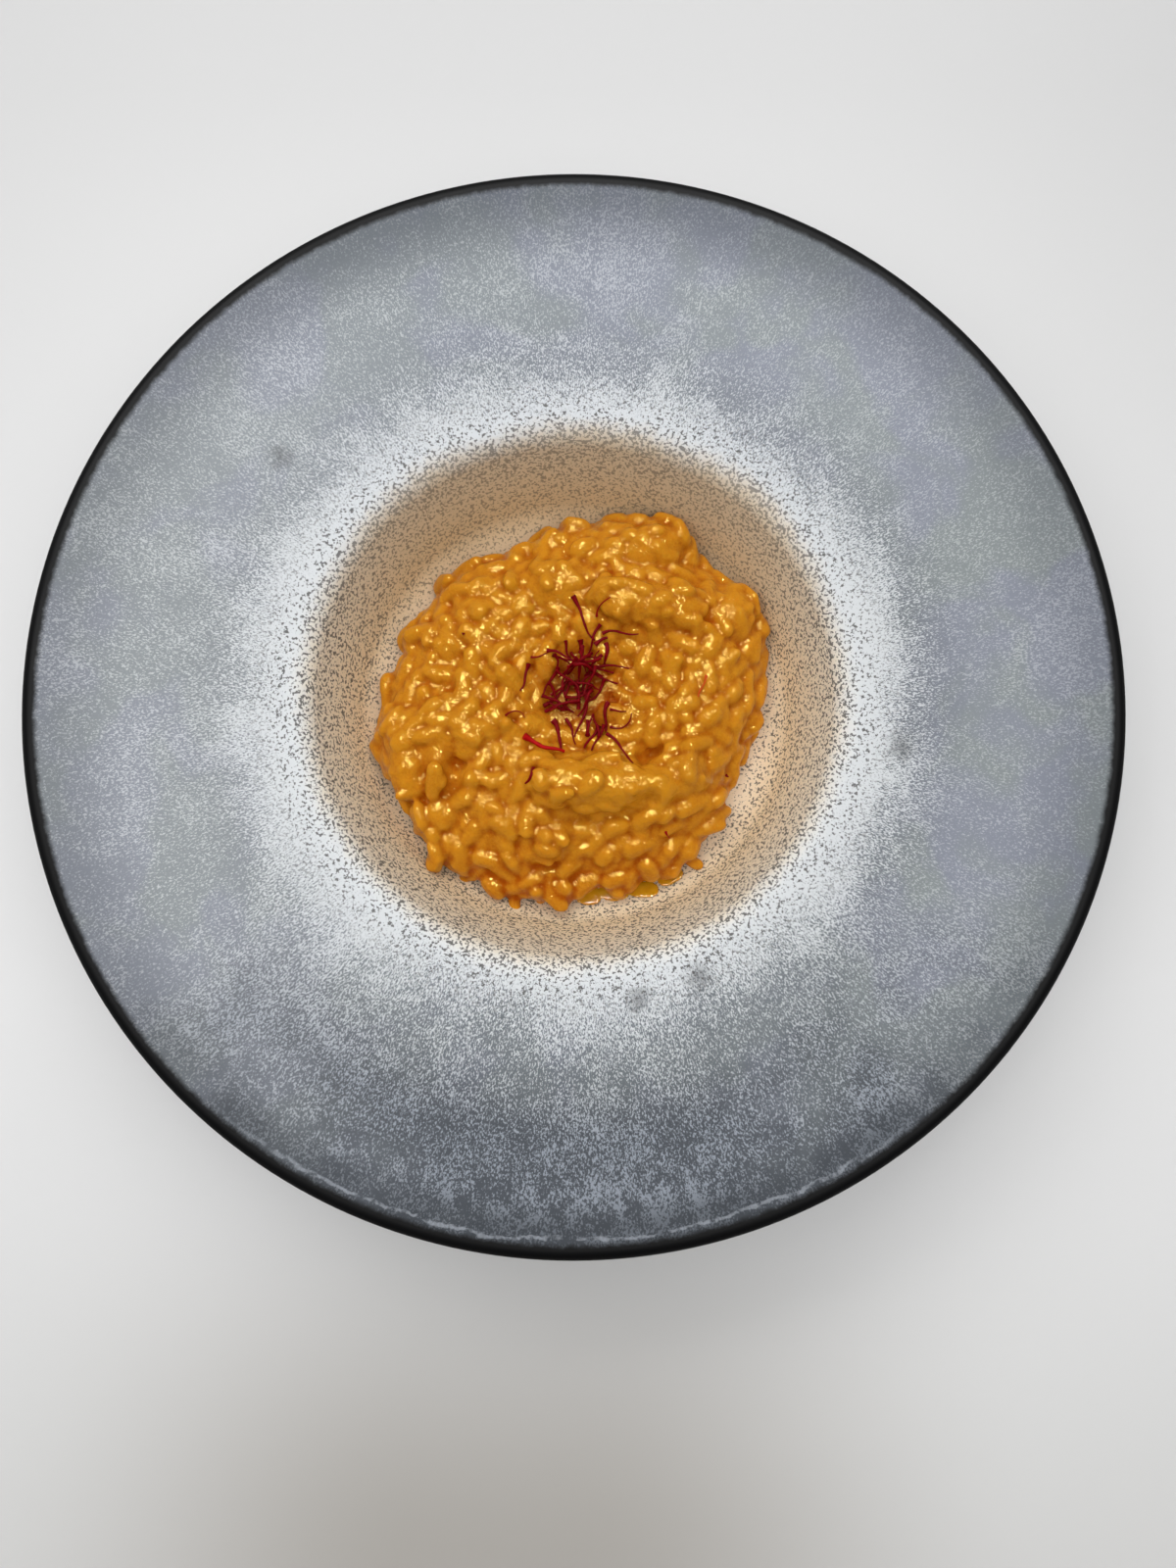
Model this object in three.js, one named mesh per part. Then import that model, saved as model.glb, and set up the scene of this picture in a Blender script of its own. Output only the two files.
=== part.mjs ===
// A wide-rimmed deep plate holding a mound of saffron risotto.
// Millimetres, +Z up. The origin is the middle of the foot ring, on the table.
import * as THREE from "three";

// ---- plate: driving dimensions ----
const PLATE_RADIUS = 140; // outer edge of the rim
const PLATE_HEIGHT = 48; // highest point of the rolled edge
const EDGE_RADIUS = 2.6; // rounding of the rolled edge
const RIM_SLOPE_DEG = 6.3; // the rim falls this much towards the well
const RIM_INNER_RADIUS = 74; // where the rim starts to turn down into the well
const LIP_ROUNDING = 8; // radius of that turn
const WALL_SLOPE_DEG = 68; // the wall of the well, from level
const COVE_ROUNDING = 12; // radius of the turn from wall to floor
const FLOOR_TOP = 9; // top of the well's floor
const BODY_THICKNESS = 5; // through the floor, the wall and the rim
const FOOT_INNER_RADIUS = 41;
const FOOT_OUTER_RADIUS = 46;
const FOOT_ROUNDING = 1.2;
const EDGE_END_DEG = -78; // the rolled edge ends here, on the rim's underside

// ---- plate: how finely it is drawn ----
const PLATE_SEGMENTS = 72;
const COVE_STEPS = 6;
const LIP_STEPS = 5;
const EDGE_STEPS = 6;
const OUTER_LIP_STEPS = 3;
const OUTER_COVE_STEPS = 4;
const FOOT_STEPS = 2;

// ---- risotto: driving dimensions ----
const HEAP_GAP = 0.3; // clearance between the heap and the plate
const HEAP_RADIUS = 54; // mean radius of the outline
const HEAP_HEIGHT = 17.5; // mean height above the floor
const SHOULDER_POWER = 6; // how squarely the top turns down into the flank

// ---- risotto: how finely it is drawn ----
const HEAP_SEGMENTS = 96;
const TOP_RINGS = 19;
const UNDERSIDE_RINGS = 5;

// Lobes of the outline: azimuth and half width in degrees, reach in mm.
const OUTLINE_LOBES = [
  { azimuth: 31, width: 14, reach: 6.0 },
  { azimuth: 68, width: 14, reach: 6.5 },
  { azimuth: 110, width: 10, reach: -3.8 },
  { azimuth: 143, width: 9, reach: -3.2 },
  { azimuth: 193, width: 13, reach: 3.4 },
  { azimuth: 228, width: 13, reach: 4.0 },
  { azimuth: 253, width: 7, reach: 2.7 },
  { azimuth: 312, width: 8, reach: -1.3 },
  { azimuth: 339, width: 16, reach: -5.0 },
];

// Ripples that single grains leave in the outline: waves round it, reach in mm, phase in radians.
const OUTLINE_RIPPLES = [
  { waves: 19, reach: 0.7, phase: 1.1 },
  { waves: 31, reach: 0.5, phase: 4.0 },
];

// Swells and hollows of the top: centre, half lengths, turn in degrees, height.
const TOP_SWELLS = [
  { name: "crater", x: 1, y: 6, a: 15, b: 12, turn: 20, height: -5.0 },
  { name: "crater foot", x: 6, y: -11, a: 12, b: 6, turn: 0, height: -3.0 },
  { name: "front fold", x: 11, y: -22, a: 20, b: 6, turn: 2, height: 4.5 },
  { name: "front groove", x: 4, y: -33, a: 24, b: 4, turn: -4, height: -2.0 },
  { name: "front skirt", x: 2, y: -47, a: 34, b: 10, turn: 0, height: -5.0 },
  { name: "far fold", x: 23, y: 27, a: 14, b: 8, turn: -12, height: 4.0 },
  { name: "far lobe", x: 20, y: 45, a: 13, b: 9, turn: 10, height: 2.5 },
  { name: "right lobe", x: 44, y: 26, a: 10, b: 9, turn: 0, height: 2.5 },
  { name: "left fold", x: -37, y: -11, a: 13, b: 6, turn: 35, height: 3.0 },
  { name: "left swell", x: -29, y: 26, a: 15, b: 10, turn: 40, height: 1.5 },
  { name: "right swell", x: 38, y: -12, a: 9, b: 14, turn: 10, height: 1.5 },
];

// Ripples of single grains over the top: radians per mm along x and y, phase, height in mm.
const TOP_RIPPLES = [
  { alongX: 0.85, alongY: -0.24, phase: -0.1, height: 0.25 },
  { alongX: 0.39, alongY: 0.86, phase: 0.1, height: 0.25 },
  { alongX: 0.37, alongY: -0.71, phase: 0.6, height: 0.4 },
];

const RAD = Math.PI / 180;
const gauss = (t) => Math.exp(-t * t);

// Points of an arc in the (radius, height) plane, from one angle to another.
function arc(centreR, centreZ, radius, fromDeg, toDeg, steps) {
  const points = [];
  for (let i = 0; i <= steps; i++) {
    const angle = (fromDeg + ((toDeg - fromDeg) * i) / steps) * RAD;
    points.push(
      new THREE.Vector2(
        centreR + radius * Math.cos(angle),
        centreZ + radius * Math.sin(angle),
      ),
    );
  }
  return points;
}

// Centres of the three turns of the plate's section, worked out from the rim inwards.
const edgeCentre = {
  r: PLATE_RADIUS - EDGE_RADIUS,
  z: PLATE_HEIGHT - EDGE_RADIUS,
};
const slope = RIM_SLOPE_DEG * RAD;
const steep = WALL_SLOPE_DEG * RAD;
const rimRun = edgeCentre.r - EDGE_RADIUS * Math.sin(slope) - RIM_INNER_RADIUS;
const lipCentre = {
  r: RIM_INNER_RADIUS + LIP_ROUNDING * Math.sin(slope),
  z:
    edgeCentre.z +
    (EDGE_RADIUS - LIP_ROUNDING) * Math.cos(slope) -
    rimRun * Math.tan(slope),
};
const coveTopZ = FLOOR_TOP + COVE_ROUNDING * (1 - Math.cos(steep));
const lipFootZ = lipCentre.z + LIP_ROUNDING * Math.cos(steep);
const wallRun = (lipFootZ - coveTopZ) / Math.tan(steep);
const coveCentre = {
  r: lipCentre.r - (LIP_ROUNDING + COVE_ROUNDING) * Math.sin(steep) - wallRun,
  z: FLOOR_TOP + COVE_ROUNDING,
};

// The inside of the plate, from the middle of the floor out to the rolled edge.
function innerProfile() {
  return [
    new THREE.Vector2(0, FLOOR_TOP),
    ...arc(coveCentre.r, coveCentre.z, COVE_ROUNDING, -90, WALL_SLOPE_DEG - 90, COVE_STEPS),
    ...arc(
      lipCentre.r,
      lipCentre.z,
      LIP_ROUNDING,
      WALL_SLOPE_DEG + 90,
      RIM_SLOPE_DEG + 90,
      LIP_STEPS,
    ),
  ];
}

// The rolled edge, from the top of the rim round to its underside.
function edgeProfile() {
  const start = RIM_SLOPE_DEG + 90;
  return arc(edgeCentre.r, edgeCentre.z, EDGE_RADIUS, start, EDGE_END_DEG, EDGE_STEPS);
}

// The outside, from under the rim back to the middle, over the foot ring.
function outerProfile() {
  const footZ = FLOOR_TOP - BODY_THICKNESS;
  const footOut = FOOT_OUTER_RADIUS - FOOT_ROUNDING;
  const footIn = FOOT_INNER_RADIUS + FOOT_ROUNDING;
  return [
    ...arc(
      lipCentre.r,
      lipCentre.z,
      LIP_ROUNDING - BODY_THICKNESS,
      RIM_SLOPE_DEG + 90,
      WALL_SLOPE_DEG + 90,
      OUTER_LIP_STEPS,
    ),
    ...arc(
      coveCentre.r,
      coveCentre.z,
      COVE_ROUNDING + BODY_THICKNESS,
      WALL_SLOPE_DEG - 90,
      -90,
      OUTER_COVE_STEPS,
    ),
    new THREE.Vector2(FOOT_OUTER_RADIUS + FOOT_ROUNDING, footZ),
    ...arc(footOut, FOOT_ROUNDING, FOOT_ROUNDING, 0, -90, FOOT_STEPS),
    ...arc(footIn, FOOT_ROUNDING, FOOT_ROUNDING, -90, -180, FOOT_STEPS),
    new THREE.Vector2(FOOT_INNER_RADIUS - FOOT_ROUNDING, footZ),
    new THREE.Vector2(0, footZ),
  ];
}

function plate() {
  const section = [...innerProfile(), ...edgeProfile(), ...outerProfile()].reverse();
  const geometry = new THREE.LatheGeometry(section, PLATE_SEGMENTS).rotateX(Math.PI / 2);
  const glaze = new THREE.MeshStandardMaterial({
    color: 0x8f959d,
    roughness: 0.45,
    metalness: 0,
  });
  const mesh = new THREE.Mesh(geometry, glaze);
  mesh.name = "plate";
  return mesh;
}

// Height of the plate's inside at a radius, out to the foot of the lip.
function plateInside(radius) {
  if (radius <= coveCentre.r) return FLOOR_TOP;
  const coveTopR = coveCentre.r + COVE_ROUNDING * Math.sin(steep);
  if (radius > coveTopR) return coveTopZ + (radius - coveTopR) * Math.tan(steep);
  const across = radius - coveCentre.r;
  return coveCentre.z - Math.sqrt(COVE_ROUNDING ** 2 - across ** 2);
}

// Radius of the heap's outline at an azimuth in degrees: broad lobes, then single grains.
function heapOutline(azimuth) {
  let radius = HEAP_RADIUS;
  for (const lobe of OUTLINE_LOBES) {
    const away = ((azimuth - lobe.azimuth + 540) % 360) - 180;
    radius += lobe.reach * gauss(away / lobe.width);
  }
  for (const ripple of OUTLINE_RIPPLES) {
    radius += ripple.reach * Math.sin(ripple.waves * azimuth * RAD + ripple.phase);
  }
  return radius;
}

// Height of the heap's top above the floor, before it turns down at the outline.
function heapHeight(x, y) {
  let height = HEAP_HEIGHT;
  for (const swell of TOP_SWELLS) {
    const turn = swell.turn * RAD;
    const along = (x - swell.x) * Math.cos(turn) + (y - swell.y) * Math.sin(turn);
    const across = (y - swell.y) * Math.cos(turn) - (x - swell.x) * Math.sin(turn);
    height += swell.height * gauss(Math.hypot(along / swell.a, across / swell.b));
  }
  for (const ripple of TOP_RIPPLES) {
    height += ripple.height * Math.sin(ripple.alongX * x + ripple.alongY * y + ripple.phase);
  }
  return height;
}

// A sphere's grid of vertices, moved out onto the heap's top and its underside.
function risotto() {
  const rings = TOP_RINGS + UNDERSIDE_RINGS;
  const geometry = new THREE.SphereGeometry(1, HEAP_SEGMENTS, rings).rotateX(Math.PI / 2);
  geometry.deleteAttribute("normal");
  geometry.deleteAttribute("uv");
  const position = geometry.getAttribute("position");
  for (let ring = 0; ring <= rings; ring++) {
    const onTop = ring <= TOP_RINGS;
    const share = onTop
      ? Math.sin((ring / TOP_RINGS) * (Math.PI / 2))
      : (rings - ring) / UNDERSIDE_RINGS;
    for (let column = 0; column <= HEAP_SEGMENTS; column++) {
      const azimuth = (360 * (column % HEAP_SEGMENTS)) / HEAP_SEGMENTS;
      const radius = share * heapOutline(azimuth);
      const x = radius * Math.cos(azimuth * RAD);
      const y = radius * Math.sin(azimuth * RAD);
      const under = plateInside(radius) + HEAP_GAP;
      const shoulder = Math.sqrt(Math.max(0, 1 - share ** SHOULDER_POWER));
      const rise = Math.max(0, FLOOR_TOP + heapHeight(x, y) - under);
      const z = onTop ? under + rise * shoulder : under;
      position.setXYZ(ring * (HEAP_SEGMENTS + 1) + column, x, y, z);
    }
  }
  const sauce = new THREE.MeshStandardMaterial({
    color: 0xd98f22,
    roughness: 0.25,
    metalness: 0,
  });
  const mesh = new THREE.Mesh(geometry, sauce);
  mesh.name = "risotto";
  return mesh;
}

const group = new THREE.Group();
group.add(plate(), risotto());

export default group;
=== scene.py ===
"""Saffron risotto in the well of a wide-rimmed stoneware plate: its fine form and its finish."""

import math
import random

import bpy
import numpy as np
from mathutils import Euler, Matrix, Vector, noise
from mathutils.bvhtree import BVHTree
from mathutils.kdtree import KDTree


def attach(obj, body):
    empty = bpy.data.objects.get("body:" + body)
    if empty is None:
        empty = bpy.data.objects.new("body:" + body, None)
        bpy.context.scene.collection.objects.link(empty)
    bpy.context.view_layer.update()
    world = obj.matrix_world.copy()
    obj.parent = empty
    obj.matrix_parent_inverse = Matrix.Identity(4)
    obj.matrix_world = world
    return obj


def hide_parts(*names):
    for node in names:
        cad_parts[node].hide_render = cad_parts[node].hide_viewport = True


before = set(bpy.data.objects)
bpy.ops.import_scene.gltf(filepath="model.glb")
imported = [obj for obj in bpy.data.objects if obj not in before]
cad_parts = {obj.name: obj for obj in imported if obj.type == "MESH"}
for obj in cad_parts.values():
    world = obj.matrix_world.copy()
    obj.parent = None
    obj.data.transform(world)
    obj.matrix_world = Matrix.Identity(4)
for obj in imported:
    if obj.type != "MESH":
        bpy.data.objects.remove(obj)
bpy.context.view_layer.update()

MM = 0.001
QUARTER = math.pi / 2  # a quarter turn
SAME_POINT = 0.01  # points of a mesh closer than this many millimetres are merged

# ---- plate, in millimetres ----
PLATE_RADIUS = 140.0
PLATE_HEIGHT = 48.0
EDGE_RADIUS = 2.6
EDGE_CURL = math.radians(-78)  # how far the rolled edge turns under
RIM_SLOPE = math.radians(6.3)
RIM_INNER_RADIUS = 74.0
LIP_ROUNDING = 8.0
WALL_SLOPE = math.radians(68)
COVE_ROUNDING = 12.0
FLOOR_TOP = 9.0
BODY_THICKNESS = 5.0
FOOT_INNER_RADIUS = 41.0
FOOT_OUTER_RADIUS = 46.0
FOOT_ROUNDING = 1.2
PLATE_STEPS = 240  # facets round the plate

# ---- rice, in millimetres ----
GRAIN_LENGTH = 9.0
GRAIN_WIDTH = 4.6
GRAIN_THICKNESS = 3.4
# Kinds of grain: name, length, width and thickness against the above, bend, and taper of one end.
GRAIN_KINDS = [
    ("grain_long", 1.1, 0.9, 0.95, 0.3, 0.8),
    ("grain_plump", 0.9, 1.15, 1.1, 0.2, 0.95),
    ("grain_bent", 1, 1, 1, 1.2, 0.85),
    ("grain_narrowed", 1, 1.05, 1, 0.5, 0.6),
    ("grain_short", 0.72, 1, 1.05, 0.1, 0.9),
    ("grain_curled", 1.15, 0.88, 0.9, 1.9, 0.75),
]
BELLY = 1.05  # the middle of a grain is this much fuller than a plain ball's
CORE_DEPTH = 1.7  # the core lies this far under the heap's outline
CORE_VOXEL = 1.0
FOLD_SINK = 1.8  # grains lie this much deeper on the smooth back of a roll or lump
FOLD_BACK = 0.42  # the back reaches this share of its length and width from its middle
LUMP_SIZE = 13.0
LUMP_HEIGHT = 2.4
BED_SPACING = 4.0
BED_LIFT = -0.2  # of a grain's middle over the core
TOP_SPACING = 7.0
TOP_LIFT = 0.9
GRAIN_SIZES = (0.9, 1.1)  # the smallest and the largest grain against its model
HEADING_SPREAD = 0.6  # radians, as the next two
TILT_SPREAD = 0.22
ROLL_SPREAD = 0.4
LIFT_SPREAD = 0.3
GRAIN_TRIES = 9000  # places drawn for a layer's grains; those well apart are kept
LOWEST_GRAIN = FLOOR_TOP + 1.2  # no grain is laid where the core is lower than this
PLATE_GAP = 0.2  # a grain that reaches lower is lifted this far clear of the plate
CALM_SIZE = 17.0  # patches of this size lie deeper in the sauce or higher out of it
CALM_DEPTH = 1.8
SKIN = 0.72  # how far the sauce reaches into the crevices between grains
SKIN_VOXEL = 0.47
COATING = 0.45  # thickness of the sauce over the grains
SOFTENING = 2  # rounds of smoothing on the finished skin
SETTLING = 0.2  # share by which the sauce sinks from its swells into its creases
BROAD_CREASES = 40  # rounds of smoothing that take out all creases
CREASE_DEPTH = 1.3  # this far below or above its surroundings the sauce is deepest or palest
FINE_CREASES = 8  # rounds of smoothing that take out only the narrowest creases
FINE_DEPTH = 2.2  # the same as the crease depth, for these
SAUCE_TRIANGLES = 195000
FILM_THICKNESS = 1.2  # of the thin sauce that has run out
FILM_LIFT = 0.65  # of its middle over the plate
FILM_VOXEL = 0.35

# Rolls and lumps of the heap that the sauce covers smoothly: name, place, length, width, turn in
# degrees, and the height of the middle over the core.
SAUCE_FOLDS = [
    ("front_fold", 8, -23, 38, 12, -3, -0.2),
    ("front_fold_end", 23, -27, 12, 7, 75, -0.2),
    ("front_lump", 29, -19, 16, 13, 60, -2.5),
    ("far_roll", 21, 27, 30, 13, -10, -2.3),
    ("far_swell", -3, 33, 26, 18, 10, -5.0),
    ("far_lobe", 21, 44, 20, 15, 15, -3.2),
    ("right_lobe", 43, 25, 17, 14, 80, -2.6),
    ("left_lump", -25, -7, 18, 12, 25, -1.6),
    ("left_strip", -26, -17, 13, 4.8, 55, 0.6),
    ("left_mass", -46, -14, 22, 10, 98, -1.2),
    ("left_bridge", -37, -17, 12, 3.8, 93, 1.0),
    ("near_left_lump", -36, -30, 11, 8, 10, 0.0),
    ("near_lump", -13, -31, 12, 8, 40, -0.6),
    ("near_swell", -5, -36, 11, 8, 60, 0.0),
]

# Grains that stick out of the margin: place and heading in degrees.
LOOSE_GRAINS = [
    (-16.2, -52.5, 88),
    (-29.0, -45.5, 35),
    (-9.0, -50.5, 75),
    (33.0, -42.5, 150),
    (49.5, -9.0, 60),
]
LOOSE_SIZE = (0.85, 0.6, 0.8)  # length, width and thickness of these against a model grain
# Thin yellow sauce that has run out on the plate: place, length, width and turn.
THIN_SAUCE = [
    (19.0, -50.0, 9.0, 5.5, 0),
    (11.0, -50.5, 9.0, 6.5, 0),
    (3.5, -51.5, 8.5, 6.5, -10),
    (-5.5, -50.0, 9.0, 5.0, -10),
    (26.5, -46.5, 8.0, 5.0, 25),
    (52.5, 8.0, 12.0, 3.5, 88),
]
# Small hollows that neither grains nor sauce have filled: place and depth.
POCKETS = [
    (18.0, -27.5, 3.5),
    (20.5, -26.8, 3.5),
    (18.5, -15.5, 3.0),
    (21.0, -13.8, 3.0),
    (-32.0, -16.5, 2.5),
]
POCKET_RADIUS = 1.7

# ---- saffron threads, in millimetres and degrees ----
THREAD_GIRTH = 0.44  # radius near the flared end of a middling thread
THREAD_STEP = 1.0
THREAD_TAPER = 0.5  # share of its girth that a thread loses by its thin end
THREAD_FLARE = 0.35  # the thick end is this much wider than the thread behind it
THREAD_SWAY = 16  # degrees by which a thread swings from side to side
THREAD_SHAKE = 7  # degrees of chance at each step
THREAD_REST = 0.8  # of its radius: how high a thread's middle lies over the rice
CROSSING = 0.75  # of both radii: how high it lies over another thread's middle
THREAD_SAG = 0.02  # from point to point, where nothing holds a thread up
TAUT_ROUNDS = 60  # rounds that pull a thread straight between its rests
SPRINGY_LENGTH = 6  # the ends of threads longer than this stand up a little
# A line for each thread: place of its thick end, heading, length, bend to the left along it,
# thickness against a middling one, and brightness from dark crimson (0) to orange-red (1).
THREADS = [
    (-0.5, 29.0, -75, 13.5, 30, 1.2, 0.0),
    (7.0, 21.5, -117, 8.5, -5, 1.0, 0.0),
    (7.5, 19.0, 5, 10.0, -8, 0.9, 0.1),
    (5.5, 16.0, 31, 4.0, 0, 1.4, 0.0),
    (6.0, 23.5, 96, 6.0, -115, 0.6, 0.3),
    (1.5, 17.5, -82, 4.0, 0, 1.5, 0.0),
    (-2.5, 17.0, -77, 5.0, 25, 1.0, 0.0),
    (-6.0, 13.0, -34, 6.5, 17, 0.9, 0.0),
    (-5.5, 13.0, -55, 7.0, -95, 0.9, 0.0),
    (-4.5, 9.5, -124, 8.5, 20, 1.0, 0.0),
    (-12.0, 12.5, -15, 6.0, 60, 0.6, 0.2),
    (-12.5, 10.5, -102, 8.0, -22, 1.1, 0.0),
    (-8.5, -0.5, 45, 10.5, 15, 1.2, 0.0),
    (-18.5, -4.0, 60, 6.5, -170, 0.6, 0.2),
    (2.5, 10.5, -4, 12.5, 0, 1.0, 0.0),
    (2.5, 11.0, -30, 11.0, -6, 1.0, 0.0),
    (2.0, 11.0, -14, 9.0, -8, 0.9, 0.0),
    (2.5, 10.0, 150, 7.0, 12, 0.9, 0.0),
    (8.5, 16.5, -92, 5.5, 0, 1.4, 0.0),
    (7.5, 13.0, -138, 4.0, 0, 1.1, 0.0),
    (8.0, 6.5, -122, 8.0, -22, 1.0, 0.0),
    (1.0, 3.0, -14, 3.5, 0, 1.0, 0.0),
    (3.5, 2.0, -113, 12.0, 14, 1.1, 0.0),
    (-2.5, -4.0, -70, 8.0, 4, 1.0, 0.0),
    (-6.0, -4.5, -46, 9.0, -66, 1.6, 0.0),
    (-13.5, -9.5, -20, 11.5, -2, 1.7, 0.6),
    (-11.0, -18.5, -108, 5.0, -28, 1.2, 0.1),
    (3.5, -4.5, -77, 4.5, -30, 0.9, 0.0),
    (9.0, 0.0, -98, 8.0, 6, 1.4, 0.0),
    (9.5, -2.0, 4, 4.5, -30, 0.9, 0.0),
    (9.5, -6.5, -4, 8.5, 85, 0.7, 0.0),
    (6.5, -6.0, -119, 7.5, 0, 1.3, 0.0),
    (8.0, -6.0, -125, 8.0, 24, 1.0, 0.0),
    (8.5, -8.5, -28, 11.5, -44, 1.0, 0.0),
    (-4.0, -1.5, -12, 4.0, 0, 0.9, 0.0),
    (-4.0, -1.5, 34, 4.0, 0, 0.9, 0.0),
    (-4.0, -1.5, 157, 4.0, 0, 0.9, 0.0),
    (-3.0, 6.0, -82, 6.0, -10, 1.0, 0.0),
    (-1.5, 6.5, -97, 6.5, 10, 1.0, 0.0),
    (0.0, 6.0, -86, 5.5, -8, 1.0, 0.0),
    (1.0, 6.5, -100, 6.5, 12, 1.0, 0.0),
    (2.5, 6.0, -84, 6.0, -6, 1.0, 0.0),
    (4.5, 5.5, -104, 6.0, 10, 1.0, 0.0),
    (-7.5, 14.0, -20, 9.0, 10, 1.0, 0.0),
    (-1.0, 14.0, -62, 8.0, 6, 0.9, 0.0),
    (2.0, 15.5, -95, 9.0, 8, 1.1, 0.0),
    (4.5, 14.0, -112, 8.0, -10, 1.0, 0.0),
    (-2.0, 8.5, 22, 9.0, 0, 0.9, 0.0),
    (7.0, 12.0, -166, 9.0, 12, 1.0, 0.0),
    (3.0, 7.5, 62, 8.0, -8, 0.9, 0.0),
    (-3.5, 3.5, 72, 7.0, 6, 0.9, 0.0),
    (-2.5, 1.5, 15, 8.0, -6, 1.0, 0.0),
    (5.5, 8.0, -152, 7.0, 8, 0.9, 0.0),
    (1.0, -1.5, 102, 8.0, -8, 1.0, 0.0),
    (-6.5, 2.5, 40, 7.0, 6, 0.9, 0.0),
    (0.5, 11.5, -140, 6.5, -10, 1.0, 0.0),
    (1.5, 13.5, -60, 6.0, 8, 1.2, 0.0),
    (4.0, 12.5, -150, 7.0, 6, 1.1, 0.0),
    (0.0, 9.5, -8, 8.0, -8, 1.1, 0.0),
    (5.5, 9.5, -112, 8.0, 6, 1.0, 0.0),
    (-1.0, 5.5, -20, 8.0, 10, 1.0, 0.0),
    (-5.0, 8.5, -38, 8.0, -10, 1.0, 0.0),
    (-7.0, 5.5, -62, 7.0, 8, 1.0, 0.0),
    (-9.0, 2.0, -28, 9.0, 12, 1.1, 0.0),
    (-8.0, -2.0, 12, 10.0, -8, 1.0, 0.0),
    (4.5, 3.5, -128, 8.0, 8, 1.0, 0.0),
    (1.5, 0.5, -158, 9.0, -8, 1.0, 0.0),
    (6.5, -9.5, 100, 7.0, -10, 1.0, 0.0),
    (3.5, -9.0, 76, 6.5, 8, 1.1, 0.0),
    (35.5, 7.0, -108, 6.5, 10, 0.8, 0.9),
    (24.5, -35.0, -50, 2.0, 0, 0.7, 0.4),
    (-30.5, 18.5, 20, 0.7, 0, 0.9, 0.0),
    (41.5, -19.0, -30, 0.8, 0, 0.9, 0.0),
]

# The rice around the threads is darker: dyed by the saffron, with painted shade between the threads.
THREAD_DYE_AND_SHADE = (1.5, 3.5, 16.0)  # the threads dye the rice deeper here: place and radius

# ---- camera: the eye's place and aim over the plate, lens and picture height, in millimetres ----
EYE = Vector((3.6, -61.1, PLATE_HEIGHT + 295.0))
AIM = Vector((3.6, -25.0, PLATE_HEIGHT))
LENS = 27.32
SENSOR = 36.0

PLACES_SEED = 11  # for the places of the grains
chance = random.Random(7)  # for all other chances


# ---- modelling ----


def select_only(*objects):
    """Nothing but these is selected, and the first is active."""
    bpy.ops.object.select_all(action="DESELECT")
    for piece in objects:
        piece.select_set(True)
    bpy.context.view_layer.objects.active = objects[0]


def new_object(name, data):
    """An object with these data, in the scene."""
    made = bpy.data.objects.new(name, data)
    bpy.context.collection.objects.link(made)
    return made


def copy_of(piece):
    """A copy with a mesh of its own, in the scene."""
    copy = piece.copy()
    copy.data = piece.data.copy()
    bpy.context.collection.objects.link(copy)
    return copy


def join(pieces):
    """Joins all the pieces to the first."""
    select_only(*pieces)
    bpy.ops.object.join()
    return pieces[0]


def apply_modifier(piece, kind, **settings):
    """Adds a modifier with these settings and applies it."""
    select_only(piece)
    modifier = piece.modifiers.new(kind, kind)
    for name, value in settings.items():
        setattr(modifier, name, value)
    bpy.ops.object.modifier_apply(modifier=modifier.name)


def remesh(piece, cell):
    """A new, even mesh over the piece; the cell is in millimetres."""
    apply_modifier(piece, "REMESH", mode="VOXEL", voxel_size=cell * MM)


def swell(piece, distance):
    """Moves the surface out by so many millimetres, or in if they are negative."""
    apply_modifier(piece, "DISPLACE", strength=distance * MM, mid_level=0)


def soften(piece, rounds):
    """Smooths the surface."""
    apply_modifier(piece, "SMOOTH", factor=0.5, iterations=rounds)


def select_vertices(piece, wanted):
    """In edit mode: selects the vertices whose place passes the test."""
    bpy.ops.mesh.select_all(action="DESELECT")
    bpy.ops.object.mode_set(mode="OBJECT")
    for vertex in piece.data.vertices:
        vertex.select = wanted(vertex.co)
    bpy.ops.object.mode_set(mode="EDIT")


def drawn_along(reach):
    """Settings of a transform that draws the points around along, out to this reach."""
    settings = {"use_proportional_edit": True, "proportional_edit_falloff": "SMOOTH"}
    return settings | {"proportional_size": reach}


def triangles(piece):
    """How many triangles the faces of a piece make."""
    return sum(len(face.vertices) - 2 for face in piece.data.polygons)


# ---- shader maths ----


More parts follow.
